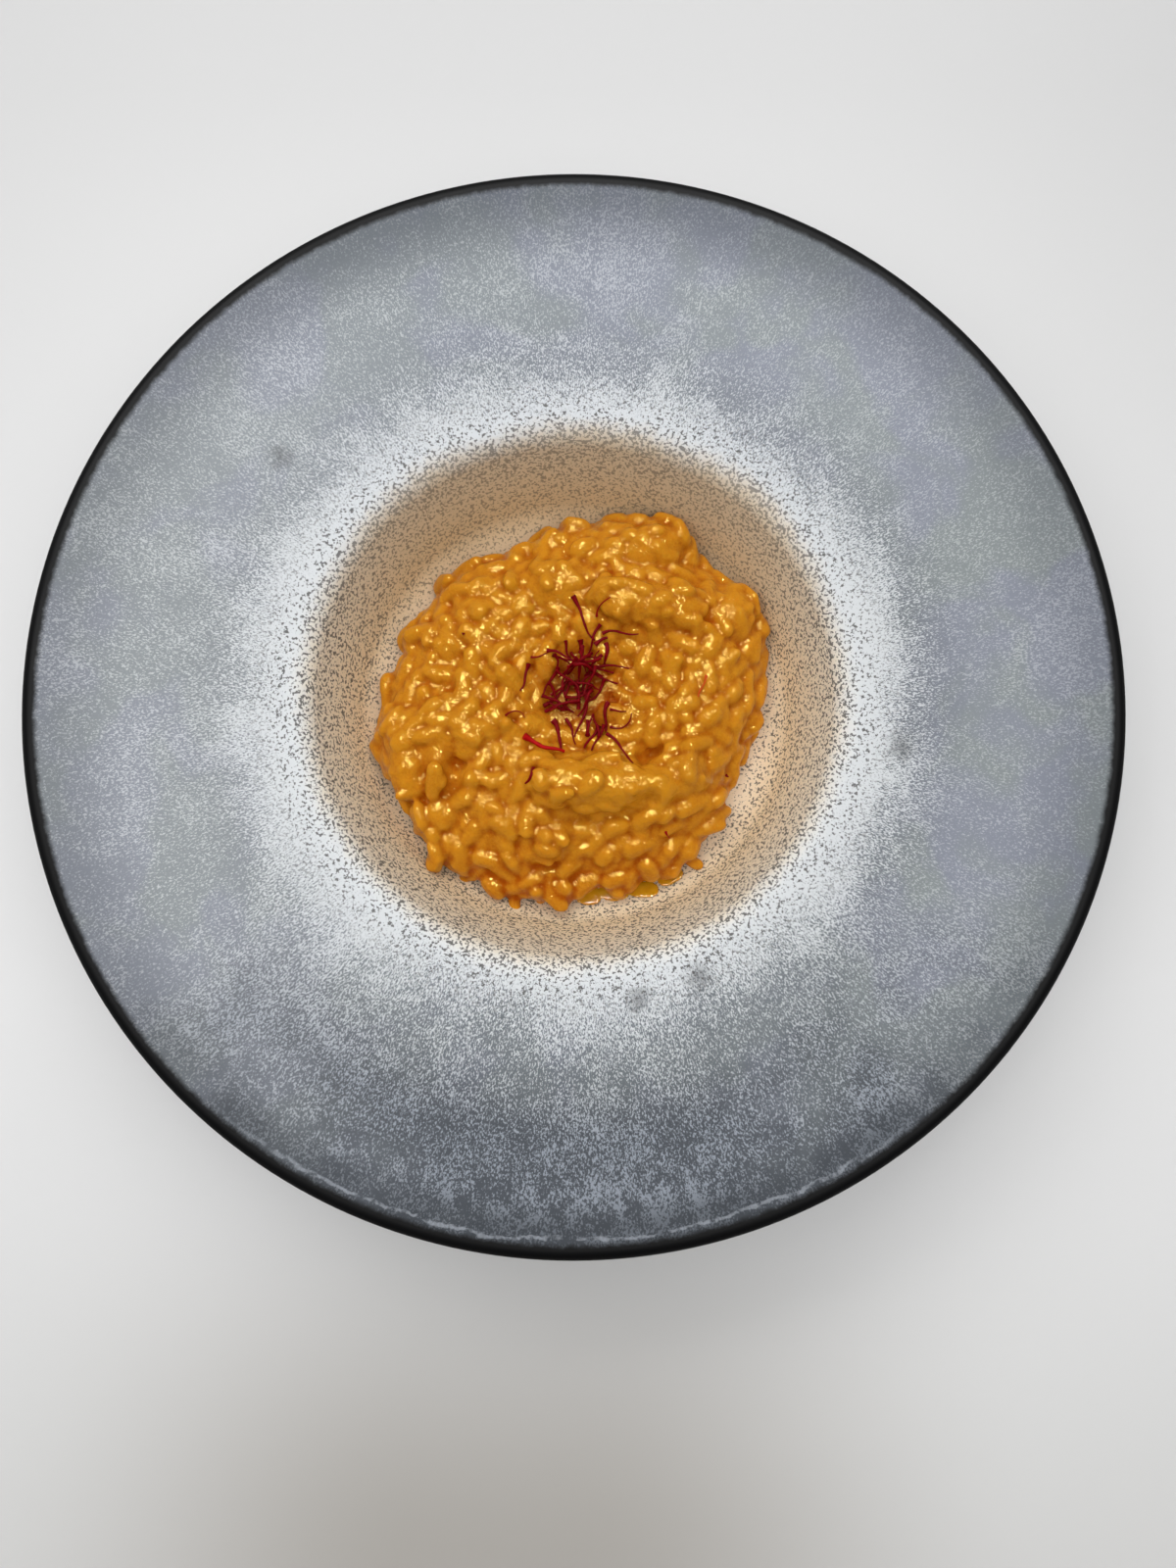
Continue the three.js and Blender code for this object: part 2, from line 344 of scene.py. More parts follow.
class Wire:
    """An output socket of a material, with the operators that shader maths needs."""

    def __init__(self, tree, socket):
        self.tree = tree
        self.socket = socket

    def node(self, kind, inputs=None, output=0, stops=None, **settings):
        """A new node: its settings are set first, then the values or wires of its inputs."""
        made = self.tree.nodes.new(kind)
        for name, value in settings.items():
            setattr(made, name, value)
        if stops:
            ramp = made.color_ramp
            while len(ramp.elements) < len(stops):
                ramp.elements.new(0.5)
            for element, (place, colour) in zip(ramp.elements, stops):
                element.position = place
                element.color = colour
        for key, value in (inputs or {}).items():
            if isinstance(value, Wire):
                self.tree.links.new(value.socket, made.inputs[key])
            else:
                made.inputs[key].default_value = value
        return Wire(self.tree, made.outputs[output])

    def maths(self, operation, *values):
        """A Math node over numbers and wires."""
        return self.node("ShaderNodeMath", dict(enumerate(values)), operation=operation)

    def __add__(self, other):
        return self.maths("ADD", self, other)

    def __radd__(self, other):
        return self.maths("ADD", other, self)

    def __sub__(self, other):
        return self.maths("SUBTRACT", self, other)

    def __rsub__(self, other):
        return self.maths("SUBTRACT", other, self)

    def __mul__(self, other):
        return self.maths("MULTIPLY", self, other)

    def __rmul__(self, other):
        return self.maths("MULTIPLY", other, self)

    def __truediv__(self, other):
        return self.maths("DIVIDE", self, other)

    def __pow__(self, other):
        return self.maths("POWER", self, other)

    def step(self, start, end):
        """Rises smoothly from 0 at start to 1 at end."""
        values = {"Value": self, "From Min": start, "From Max": end}
        return self.node("ShaderNodeMapRange", values, interpolation_type="SMOOTHSTEP")

    def mix(self, first, second):
        """Self is the share of the second colour over the first."""
        values = {0: self, 6: first, 7: second}
        return self.node("ShaderNodeMix", values, output=2, data_type="RGBA")

    def scaled(self, amount):
        """This vector times a number."""
        values = {0: self, "Scale": amount}
        return self.node("ShaderNodeVectorMath", values, operation="SCALE")

    def noise(self, size, detail=2.0, roughness=0.5, distortion=0.0):
        """Noise over this vector, with features about this size."""
        values = {"Vector": self, "Scale": 1 / size, "Detail": detail}
        values |= {"Roughness": roughness, "Distortion": distortion}
        return self.node("ShaderNodeTexNoise", values)

    def parts(self):
        """The x, y and z of this vector."""
        split = self.tree.nodes.new("ShaderNodeSeparateXYZ")
        self.tree.links.new(self.socket, split.inputs[0])
        return [Wire(self.tree, out) for out in split.outputs]

    def vector(self, x, y, z):
        """A vector from three numbers or wires."""
        return self.node("ShaderNodeCombineXYZ", {0: x, 1: y, 2: z})


def colour(red, green, blue):
    """A linear colour with alpha from the 0 to 255 values of a screen."""
    shares = [value / 255 for value in (red, green, blue)]
    linear = [s / 12.92 if s <= 0.04045 else ((s + 0.055) / 1.055) ** 2.4 for s in shares]
    return (*linear, 1.0)


def new_material(name):
    """A material with its shader, and the place on the piece in millimetres."""
    material = bpy.data.materials.new(name)
    material.use_nodes = True
    tree = material.node_tree
    shader = tree.nodes["Principled BSDF"]
    where = tree.nodes.new("ShaderNodeTexCoord")
    place = Wire(tree, where.outputs["Object"]).scaled(1 / MM)
    return material, shader, place


def feed(shader, name, value):
    """Links a wire to the shader's socket, or sets a number or colour on it."""
    socket = shader.inputs[name]
    if isinstance(value, Wire):
        value.tree.links.new(value.socket, socket)
    else:
        socket.default_value = value


def bump(height, strength, distance):
    """A normal from a height; the distance is in millimetres."""
    values = {"Strength": strength, "Distance": distance * MM, "Height": height}
    return height.node("ShaderNodeBump", values)


def distance(x, y, middle_x, middle_y):
    """How far a place is from a middle."""
    east = x - middle_x
    north = y - middle_y
    return (east * east + north * north) ** 0.5


def tone_mark(material):
    """The attribute "tone" of the piece, as a wire."""
    mark = material.node_tree.nodes.new("ShaderNodeAttribute")
    mark.attribute_name = "tone"
    return Wire(material.node_tree, mark.outputs["Fac"])


# ---- plate ----

# Tones of the glaze inside the well, by the radius in millimetres at which each is fullest. The browner
# tone on the wall, at 60, is partly the glaze's own and partly painted shade.
WELL_TONES = [
    (40, 238, 221, 196),
    (53, 240, 222, 194),
    (60, 232, 210, 173),
    (68, 234, 223, 204),
    (74, 240, 238, 233),
]
# Dark smudges in the pale speckle of the rim: place and size in millimetres.
SMUDGES = [(83.7, -14.6, 5.5), (-76.9, 62.1, 5.0), (31.5, -72.9, 5.0), (16.0, -78.5, 4.5)]
BLACK_FROM = 135.8  # radius in millimetres from which the edge is black


def arc(centre, radius, start, end, steps):
    """Points of an arc in the plane of radius and height."""
    angles = [start + (end - start) * i / steps for i in range(steps + 1)]
    return [(centre[0] + radius * math.cos(a), centre[1] + radius * math.sin(a)) for a in angles]


edge_centre = (PLATE_RADIUS - EDGE_RADIUS, PLATE_HEIGHT - EDGE_RADIUS)
rim_run = edge_centre[0] - EDGE_RADIUS * math.sin(RIM_SLOPE) - RIM_INNER_RADIUS
lip_centre = (
    RIM_INNER_RADIUS + LIP_ROUNDING * math.sin(RIM_SLOPE),
    edge_centre[1] + (EDGE_RADIUS - LIP_ROUNDING) * math.cos(RIM_SLOPE) - rim_run * math.tan(RIM_SLOPE),
)
cove_top_z = FLOOR_TOP + COVE_ROUNDING * (1 - math.cos(WALL_SLOPE))
lip_foot_z = lip_centre[1] + LIP_ROUNDING * math.cos(WALL_SLOPE)
wall_run = (lip_foot_z - cove_top_z) / math.tan(WALL_SLOPE)
cove_centre = (
    lip_centre[0] - (LIP_ROUNDING + COVE_ROUNDING) * math.sin(WALL_SLOPE) - wall_run,
    FLOOR_TOP + COVE_ROUNDING,
)
cove_top_r = cove_centre[0] + COVE_ROUNDING * math.sin(WALL_SLOPE)


def run(start, end, steps):
    """Points between two points, without either end."""
    shares = [i / steps for i in range(1, steps)]
    return [tuple(a + (b - a) * t for a, b in zip(start, end)) for t in shares]


def top_section():
    """The inside of the plate, from the middle of the floor to the outermost point of the edge."""
    cove = arc(cove_centre, COVE_ROUNDING, -QUARTER, WALL_SLOPE - QUARTER, 14)
    lip = arc(lip_centre, LIP_ROUNDING, WALL_SLOPE + QUARTER, RIM_SLOPE + QUARTER, 12)
    edge = arc(edge_centre, EDGE_RADIUS, RIM_SLOPE + QUARTER, 0, 10)
    middle = (0, FLOOR_TOP)
    return [
        middle,
        *run(middle, cove[0], 10),
        *cove,
        *run(cove[-1], lip[0], 4),
        *lip,
        *run(lip[-1], edge[0], 12),
        *edge,
    ]


def under_section():
    """The outside, from under the edge to the middle, over the foot ring."""
    foot_z = FLOOR_TOP - BODY_THICKNESS
    lip_under = LIP_ROUNDING - BODY_THICKNESS
    cove_under = COVE_ROUNDING + BODY_THICKNESS
    outside = (FOOT_OUTER_RADIUS - FOOT_ROUNDING, FOOT_ROUNDING)
    inside = (FOOT_INNER_RADIUS + FOOT_ROUNDING, FOOT_ROUNDING)
    edge = arc(edge_centre, EDGE_RADIUS, 0, EDGE_CURL, 8)[1:]
    lip = arc(lip_centre, lip_under, RIM_SLOPE + QUARTER, WALL_SLOPE + QUARTER, 6)
    cove = arc(cove_centre, cove_under, WALL_SLOPE - QUARTER, -QUARTER, 10)
    foot_out = arc(outside, FOOT_ROUNDING, 0, -QUARTER, 4)
    foot_in = arc(inside, FOOT_ROUNDING, -QUARTER, -2 * QUARTER, 4)
    return [
        *edge,
        *run(edge[-1], lip[0], 8),
        *lip,
        *run(lip[-1], cove[0], 4),
        *cove,
        (FOOT_OUTER_RADIUS + FOOT_ROUNDING, foot_z),
        *foot_out,
        *foot_in,
        (FOOT_INNER_RADIUS - FOOT_ROUNDING, foot_z),
        (0, foot_z),
    ]


def plate_inside(radius):
    """Height of the plate's inside at a radius, out to the foot of the lip."""
    if radius <= cove_centre[0]:
        return FLOOR_TOP
    if radius > cove_top_r:
        return cove_top_z + (radius - cove_top_r) * math.tan(WALL_SLOPE)
    return cove_centre[1] - math.sqrt(COVE_ROUNDING**2 - (radius - cove_centre[0]) ** 2)


def turned_plate():
    """A section drawn point by point by extruding, then spun round the plate's axis."""
    points = [Vector((r * MM, 0, z * MM)) for r, z in top_section() + under_section()]
    bpy.ops.object.select_all(action="DESELECT")
    bpy.ops.mesh.primitive_plane_add(size=MM)
    piece = bpy.context.object
    piece.name = "glazed_plate"
    bpy.ops.object.mode_set(mode="EDIT")
    bpy.ops.mesh.merge(type="CENTER")
    bpy.ops.transform.translate(value=points[0])
    for here, there in zip(points, points[1:]):
        bpy.ops.mesh.extrude_region_move(TRANSFORM_OT_translate={"value": there - here})
    bpy.ops.mesh.select_all(action="SELECT")
    bpy.ops.mesh.spin(steps=PLATE_STEPS, angle=math.tau, center=(0, 0, 0), axis=(0, 0, 1))
    bpy.ops.mesh.select_all(action="SELECT")
    bpy.ops.mesh.remove_doubles(threshold=SAME_POINT * MM)
    bpy.ops.mesh.normals_make_consistent()
    bpy.ops.object.mode_set(mode="OBJECT")
    bpy.ops.object.shade_smooth()
    return piece


def ramp(wire, stops):
    """A colour over the wire's value; stops are (value, red, green, blue)."""
    low, high = stops[0][0], stops[-1][0]
    share = (wire - low) / (high - low)
    marks = [((value - low) / (high - low), colour(*tone)) for value, *tone in stops]
    return wire.node("ShaderNodeValToRGB", {0: share}, stops=marks)


def crowded(field, share, softness):
    """The part of a noise field that rises over its surroundings; share is how much of it does."""
    return (field + share * 0.26 - 0.63).step(-softness, softness)


class PlateFields:
    """Measures and noises over the plate that the coats of its glaze share."""

    def __init__(self, place):
        self.place = place
        self.x, self.y, _ = place.parts()
        self.radius = (self.x * self.x + self.y * self.y) ** 0.5
        self.east = self.x / self.radius
        self.north = self.y / self.radius
        self.clouds = place.noise(38.0, 3.0, 0.6, 0.5)
        self.streaks = place.noise(9.0, 3.0, 0.6, 0.6)
        self.coarse = place.noise(2.6, 2.0, 0.6)
        # The flecks of the rim are drawn out along its radius.
        along = place.vector(self.east * 150.0, self.north * 150.0, self.radius * 0.8)
        self.drawn = along.noise(0.54, 2.0, 0.65)
        self.south = (self.north * -1.0).step(0.3, 0.9)
        # The near part of the rim, where the glaze is painted darker as shade.
        near = (self.north * -1.0 - 0.45 + (self.clouds - 0.5) * 0.9).step(0.0, 0.5)
        self.near = near * self.radius.step(80, 112)
        self.wander = (self.clouds - 0.5) * 7 + (self.coarse - 0.5) * 4


def fleck_coat(at):
    """Slate crowded with pale flecks next to the well, under a calmer tint on the outer rim."""
    from_well = at.place.maths("MAXIMUM", (102 - at.radius) / 27, 0.0) ** 2.4
    from_well = from_well * (1 - at.south * 0.25 - at.north.step(0.2, 0.9) * 0.2)
    along = at.place.vector(at.east * 110.0, at.north * 110.0, at.radius * 0.65)
    clusters = along.noise(3.0, 3.0, 0.6)
    share = from_well * (0.98 - at.near * 0.4) + at.near * 0.05 + 0.26
    share = share + (at.clouds - 0.5) * 0.9 + (at.streaks - 0.5) * 0.7
    share = share + at.near * (clusters - 0.5) * (at.radius.step(112, 128) * 1.9 + 0.15)
    # On the near side the slate and the pale flecks are painted darker, as shade.
    slate = at.near.mix(colour(104, 110, 117), colour(78, 82, 88))
    pale_near = at.radius.step(88, 116).mix(colour(203, 207, 210), colour(155, 162, 172))
    pale = at.near.mix(colour(229, 232, 234), pale_near)
    glaze = (crowded(at.drawn, share, 0.07) * 0.85).mix(slate, pale)

    hue = at.place.noise(26.0, 2.0, 0.5, 0.4)
    tint = hue.step(0.42, 0.58).mix(colour(151, 158, 157), colour(150, 154, 167))
    tint = (from_well * 0.9).mix(tint, colour(238, 239, 239))
    calm = (1 - at.near) * (at.radius.step(84, 104) * (0.42 + at.east * 0.12) + 0.14)
    return calm.mix(glaze, tint)


def rim_light_shade_and_smudges(glaze, at):
    """Thin washes of painted light and shade on the rim: lighter on its left and far sides, darker on
    its right side and towards its outer edge, above all on the far side, with a dark band at the near
    edge; then the dark smudges.
    """
    # Painted shade towards the outer edge, strongest on the far side.
    outer = at.radius.step(112, 136) * (0.36 + at.north * at.north * 0.28) * (1 - at.near * 0.7)
    washes = [
        ((at.east * -1.0).step(0.2, 1.0) * 0.14, colour(222, 225, 229)),
        (at.east.step(0.2, 1.0) * 0.06, colour(70, 75, 84)),
        (at.north.step(0.2, 0.9) * 0.1, colour(206, 212, 226)),
        (outer, colour(70, 75, 84)),
        (at.near * at.radius.step(125, 133) * 0.6, colour(56, 60, 65)),
    ]
    for share, tone in washes:
        glaze = share.mix(glaze, tone)
    for east, north, size in SMUDGES:
        away = distance(at.x, at.y, east, north) + (at.coarse - 0.5) * 6
        glaze = ((1 - away.step(0, size)) * 0.6).mix(glaze, colour(96, 98, 100))
    return glaze


def edge_line(glaze, at):
    """A thin pale line just inside the edge, on the near side."""
    line_radius = 134.7 + (at.streaks - 0.5) * 4 + (at.coarse - 0.5) * 1.5
    line = 1 - ((at.radius - line_radius) ** 2).step(0.02, 0.3)
    lined = (at.north * -1.0 - 0.76).step(0.0, 0.14) * at.coarse.step(0.35, 0.55)
    return (line * lined * 0.4).mix(glaze, colour(178, 184, 192))


def well_coat(glaze, at):
    """Cream inside the well with painted shade on its far and near walls, and specks that crowd at the
    lip.
    """
    radius, wander = at.radius, at.wander
    cream = ramp(radius + wander * 0.3, WELL_TONES)
    glaze = (radius + wander).step(67, 75).mix(cream, glaze)
    far_wall_shade = at.north.step(0.1, 0.9) * (1 - (radius + wander).step(68, 76))
    glaze = (far_wall_shade * 0.45).mix(glaze, colour(192, 160, 110))
    near_wall_shade = at.south * (1 - radius.step(64, 72))
    glaze = (near_wall_shade * 0.14).mix(glaze, colour(150, 138, 118))
    lip = (radius + wander * 0.5).step(63, 70) * (1 - (radius + wander).step(70, 76))
    crowd = (radius + wander * 0.5).step(42, 62) * (0.25 - (radius + wander).step(68, 76) * 0.12)
    crowd = crowd + lip * (0.06 + at.north.step(0.0, 0.9) * 0.14)
    inside = 1 - (radius + wander).step(76, 88)
    fine = at.place.noise(0.8, 2.0, 0.6)
    specks = crowded(fine, crowd + 0.05, 0.03) * inside * (0.85 - far_wall_shade * 0.3)
    return specks.mix(glaze, colour(70, 66, 64))


def speckled_glaze():
    """Slate-blue glaze with pale flecks, a speckled cream well and a black edge."""
    material, shader, place = new_material("speckled_glaze")
    at = PlateFields(place)
    glaze = fleck_coat(at)
    for coat in (rim_light_shade_and_smudges, edge_line, well_coat):
        glaze = coat(glaze, at)
    edge = (at.radius - (BLACK_FROM + at.south * 0.2 + (at.coarse - 0.5) * 1.2)).step(-0.9, 0.9)
    glaze = edge.mix(glaze, colour(6, 6, 7))
    feed(shader, "Base Color", glaze)
    feed(shader, "Roughness", 0.74 - edge * 0.2 - (at.clouds - 0.5) * 0.2)
    feed(shader, "Normal", bump(at.drawn * 0.5 + at.coarse * 0.6, 0.12, 0.25))
    feed(shader, "IOR", 1.3)
    feed(shader, "Specular IOR Level", 0.2)
    return material


def dark_glaze():
    """Near-black glaze on the outside of the edge and under the plate."""
    material, shader, place = new_material("dark_glaze")
    mottle = place.noise(14.0, 4.0, 0.6)
    base = mottle.step(0.35, 0.7).mix(colour(20, 20, 22), colour(46, 47, 50))
    feed(shader, "Base Color", base)
    feed(shader, "Roughness", 0.22 + mottle * 0.2)
    feed(shader, "Normal", bump(place.noise(2.5, 3.0), 0.1, 0.2))
    return material


def glaze_plate(piece):
    """The pale glaze lies on the top, the dark one from the outermost line of the edge down."""
    piece.data.materials.append(speckled_glaze())
    piece.data.materials.append(dark_glaze())
    for face in piece.data.polygons:
        outward = face.center.x * face.normal.x + face.center.y * face.normal.y
        below = face.normal.z < 0.02 and (outward > 0 or face.center.z < FLOOR_TOP * MM)
        face.material_index = 1 if below else 0


# ---- rice ----


def rounded_drop(name, length, width, thickness, bend, taper):
    """A ball pulled long into a blunt drop, bent in its middle and narrowed at one end."""
    bpy.ops.object.select_all(action="DESELECT")
    bpy.ops.mesh.primitive_uv_sphere_add(segments=8, ring_count=8, radius=0.5, rotation=(0, QUARTER, 0))
    bpy.ops.object.transform_apply()
    drop = bpy.context.object
    drop.name = name
    bpy.ops.object.mode_set(mode="EDIT")
    bpy.ops.mesh.select_all(action="SELECT")
    bpy.ops.transform.resize(value=(width * MM, width * MM, thickness * MM))
    reach = length / 2 * MM
    pull = (length - width) / 2 * MM
    ring = 0.1 * MM  # points closer than this to the middle are its middle ring
    for side in (-1, 1):
        select_vertices(drop, lambda at: at.x * side > ring)
        bpy.ops.transform.translate(value=(side * pull, 0, 0))
    select_vertices(drop, lambda at: abs(at.x) < ring)
    bpy.ops.transform.resize(value=(1, BELLY, BELLY))
    select_vertices(drop, lambda at: at.x > reach * 0.8)
    bpy.ops.transform.resize(value=(1, taper, taper), **drawn_along(reach * 1.2))
    select_vertices(drop, lambda at: abs(at.x) < ring)
    bpy.ops.transform.translate(value=(0, bend * MM, 0), **drawn_along(reach * 1.2))
    bpy.ops.object.mode_set(mode="OBJECT")
    bpy.ops.object.shade_smooth()
    return drop


def grain_models():
    """One grain of each kind."""
    size = (GRAIN_LENGTH, GRAIN_WIDTH, GRAIN_THICKNESS)
    return [
        rounded_drop(name, *(whole * share for whole, share in zip(size, shares)), bend, taper)
        for name, *shares, bend, taper in GRAIN_KINDS
    ]


def core_of_heap():
    """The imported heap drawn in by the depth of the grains, with softened facets."""
    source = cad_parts["risotto"]
    core = copy_of(source)
    core.parent = None
    core.matrix_world = source.matrix_world
    core.name = "risotto_core"
    for mark in list(core.keys()):
        del core[mark]
    select_only(core)
    bpy.ops.object.transform_apply()
    bpy.ops.object.mode_set(mode="EDIT")
    bpy.ops.mesh.select_all(action="SELECT")
    bpy.ops.mesh.remove_doubles(threshold=SAME_POINT * MM)
    bpy.ops.object.mode_set(mode="OBJECT")
    core.data.materials.clear()
    remesh(core, CORE_VOXEL)
    swell(core, -CORE_DEPTH)
    remesh(core, CORE_VOXEL)
    soften(core, 4)
    lumps = bpy.data.textures.new("lumps", "CLOUDS")
    lumps.noise_scale = LUMP_SIZE * MM
    lumps.noise_depth = 1
    apply_modifier(core, "DISPLACE", texture=lumps, strength=LUMP_HEIGHT * MM, mid_level=0.5)
    return core


def spots_on(surface, spacing):
    """Evenly scattered places on the upper side of a mesh: (place, normal)."""
    mesh = surface.data
    faces = [f for f in mesh.polygons if f.normal.z > -0.1 and f.center.z > LOWEST_GRAIN * MM]
    weights = np.array([f.area for f in faces])
    drawn = np.random.default_rng(PLACES_SEED)
    picks = drawn.choice(len(faces), size=GRAIN_TRIES, p=weights / weights.sum())
    spots = []
    cells = {}
    reach = spacing * MM
    for index in picks:
        face = faces[index]
        place = face.center.copy()
        key = tuple(int(c // reach) for c in place)
        around = [
            spot
            for dx in (-1, 0, 1)
            for dy in (-1, 0, 1)
            for dz in (-1, 0, 1)
            for spot in cells.get((key[0] + dx, key[1] + dy, key[2] + dz), ())
        ]
        if all((place - other).length > reach for other in around):
            cells.setdefault(key, []).append(place)
            spots.append((place, face.normal.copy()))
    return spots


def lay_grain(place, normal, heading, tilt, roll, size, lift):
    """A matrix that lays a grain on a surface, along a heading, raised by lift."""
    side = normal.cross(Vector((math.cos(heading), math.sin(heading), 0)))
    side.normalize()
    along = side.cross(normal)
    laid_flat = Matrix((along, side, normal)).transposed().to_4x4()
    turn = Euler((roll, tilt, 0)).to_matrix().to_4x4()
    at = place + normal * lift * MM
    return Matrix.Translation(at) @ laid_flat @ turn @ Matrix.Diagonal((*size, 1))


def flow(x, y):
    """Which way the grains lie, in radians: a slow swirl with the folds of the heap."""
    return 1.3 * math.sin(0.05 * x + 0.8) + 1.1 * math.sin(0.06 * y - 0.4) + 0.02 * x


def surface_height(tree, x, y):
    """Height of a surface over a point of the table, in millimetres."""
    hit = tree.ray_cast(Vector((x * MM, y * MM, 1)), Vector((0, 0, -1)))[0]
    return hit.z / MM


def fold_core(core):
    """The rolls and lumps laid on the core and grown together with it."""
    tree = BVHTree.FromObject(core, bpy.context.evaluated_depsgraph_get())
    folds = []
    for name, x, y, length, width, turn, lift in SAUCE_FOLDS:
        drop = rounded_drop(name, length, width, width, 0, 0.9)
        middle = Vector((x, y, surface_height(tree, x, y) + lift))
        turned = Matrix.Rotation(math.radians(turn), 4, "Z")
        drop.data.transform(Matrix.Translation(middle * MM) @ turned)
        apply_modifier(drop, "SUBSURF", levels=2)
        folds.append(drop)
    join([core, *folds])
    remesh(core, CORE_VOXEL)
    soften(core, 6)


def on_fold(x, y):
    """Whether a place lies on the smooth back of a roll or lump."""
    for _, fold_x, fold_y, length, width, degrees, _ in SAUCE_FOLDS:
        turn = math.radians(degrees)
        along = (x - fold_x) * math.cos(turn) + (y - fold_y) * math.sin(turn)
        across = (y - fold_y) * math.cos(turn) - (x - fold_x) * math.sin(turn)
        if math.hypot(along / length, across / width) < FOLD_BACK:
            return True
    return False


def above_plate(at):
    """Height of a point over the plate's inside, in millimetres."""
    return at.z / MM - plate_inside(math.hypot(at.x, at.y) / MM)


def scattered(models, surface, spacing, lift, name):
    """A layer of grains over a surface, joined to one piece."""
    grains = []
    for place, normal in spots_on(surface, spacing):
        x, y = place.x / MM, place.y / MM
        sink = FOLD_SINK if on_fold(x, y) else 0
        sink += CALM_DEPTH * noise.noise(place / MM / CALM_SIZE)
        grain = copy_of(chance.choice(models))
        heading = flow(x, y) + chance.gauss(0, HEADING_SPREAD)
        size = [chance.uniform(*GRAIN_SIZES) for _ in range(3)]
        tilt = chance.gauss(0, TILT_SPREAD)
        roll = chance.gauss(0, ROLL_SPREAD)
        raised = lift - sink + chance.uniform(-LIFT_SPREAD, LIFT_SPREAD)
        grain.data.transform(lay_grain(place, normal, heading, tilt, roll, size, raised))
        if covers_pocket(grain):
            bpy.data.objects.remove(grain)
            continue
        lowest = min(above_plate(vertex.co) for vertex in grain.data.vertices)
        if lowest < PLATE_GAP:
            grain.data.transform(Matrix.Translation((0, 0, (PLATE_GAP - lowest) * MM)))
        grains.append(grain)
    layer = join(grains)
    layer.name = name
    return layer


def loose_grains(models):
    """Single grains lying on the plate at the margin of the heap."""
    grains = []
    for x, y, heading in LOOSE_GRAINS:
        grain = copy_of(chance.choice(models))
        rest = plate_inside(math.hypot(x, y)) + GRAIN_THICKNESS * 0.4
        turn = Matrix.Rotation(math.radians(heading), 4, "Z")
        at = Matrix.Translation(Vector((x, y, rest)) * MM)
        grain.data.transform(at @ turn @ Matrix.Diagonal((*LOOSE_SIZE, 1)))
        grains.append(grain)
    return grains


def thin_sauce():
    """Flat drops that follow the plate's inside, run together to one film."""
    drops = []
    for x, y, length, width, turn in THIN_SAUCE:
        drop = rounded_drop("thin_sauce", length, width, FILM_THICKNESS, 0, 0.95)
        apply_modifier(drop, "SUBSURF", levels=2)
        at = Matrix.Translation(Vector((x, y, FILM_LIFT)) * MM)
        drop.data.transform(at @ Matrix.Rotation(math.radians(turn), 4, "Z"))
        for vertex in drop.data.vertices:
            vertex.co.z += plate_inside(math.hypot(vertex.co.x, vertex.co.y) / MM) * MM
        drops.append(drop)
    film = join(drops)
    remesh(film, FILM_VOXEL)
    soften(film, 3)
    bpy.ops.object.shade_smooth()
    return film


def thin_sauce_material():
    """Clear yellow sauce with a wet shine."""
    material, shader, place = new_material("thin_sauce")
    mottle = place.noise(2.5, 2.0, 0.5)
    feed(shader, "Base Color", mottle.mix(colour(184, 122, 12), colour(214, 160, 30)))
    feed(shader, "Roughness", 0.06)
    feed(shader, "Normal", bump(place.noise(1.6, 1.0), 0.4, 0.3))
    feed(shader, "Subsurface Weight", 0.4)
    feed(shader, "Subsurface Radius", (1.0, 0.5, 0.12))
    feed(shader, "Subsurface Scale", 0.8 * MM)
    return material


def press_pockets(core):
    """Presses each pocket down into the core, with its surroundings drawn along."""
    tree = BVHTree.FromObject(core, bpy.context.evaluated_depsgraph_get())
    select_only(core)
    bpy.ops.object.mode_set(mode="EDIT")
    for x, y, depth in POCKETS:
        middle = Vector((x, y, surface_height(tree, x, y))) * MM
        select_vertices(core, lambda at: (at - middle).length < POCKET_RADIUS * MM)
        around = drawn_along(POCKET_RADIUS * 1.5 * MM)
        bpy.ops.transform.translate(value=(0, 0, -depth * MM), **around)
    bpy.ops.object.mode_set(mode="OBJECT")


def covers_pocket(grain):
    """Whether any point of the grain lies over a pocket."""
    return any(
        math.hypot(v.co.x - x * MM, v.co.y - y * MM) < POCKET_RADIUS * MM
        for v in grain.data.vertices
        for x, y, _ in POCKETS
    )


def sauce_over(parts):
    """One skin over core and grains: sauce fills the crevices, the grains stay as swells."""
    sauce = join([copy_of(part) for part in parts])
    sauce.name = "risotto_sauce"
    remesh(sauce, SKIN_VOXEL)
    swell(sauce, SKIN)
    remesh(sauce, SKIN_VOXEL)
    swell(sauce, COATING - SKIN)
    soften(sauce, SOFTENING)
    bpy.ops.object.shade_smooth()
    return sauce


def settle(sauce):
    """Lets the sauce sink a little into its creases, and marks it for its colour.

    The mark is the attribute "tone": 0 deep in a crease, 1 high on a swell.
    """
    smooth = copy_of(sauce)
    count = len(sauce.data.vertices)
    places, close, broad, normals = (np.empty(count * 3) for _ in range(4))
    sauce.data.vertices.foreach_get("co", places)
    sauce.data.vertices.foreach_get("normal", normals)
    soften(smooth, FINE_CREASES)
    smooth.data.vertices.foreach_get("co", close)
    soften(smooth, BROAD_CREASES - FINE_CREASES)
    smooth.data.vertices.foreach_get("co", broad)
    height = ((places - broad) * normals).reshape(-1, 3).sum(axis=1) / MM
    detail = ((places - close) * normals).reshape(-1, 3).sum(axis=1) / MM
    marks = np.clip(0.5 + height / CREASE_DEPTH + detail / FINE_DEPTH, 0, 1)
    sauce.data.attributes.new("tone", "FLOAT", "POINT").data.foreach_set("value", marks)
    sauce.data.vertices.foreach_set("co", places + (broad - places) * SETTLING)
    sauce.data.update()
    bpy.data.objects.remove(smooth)


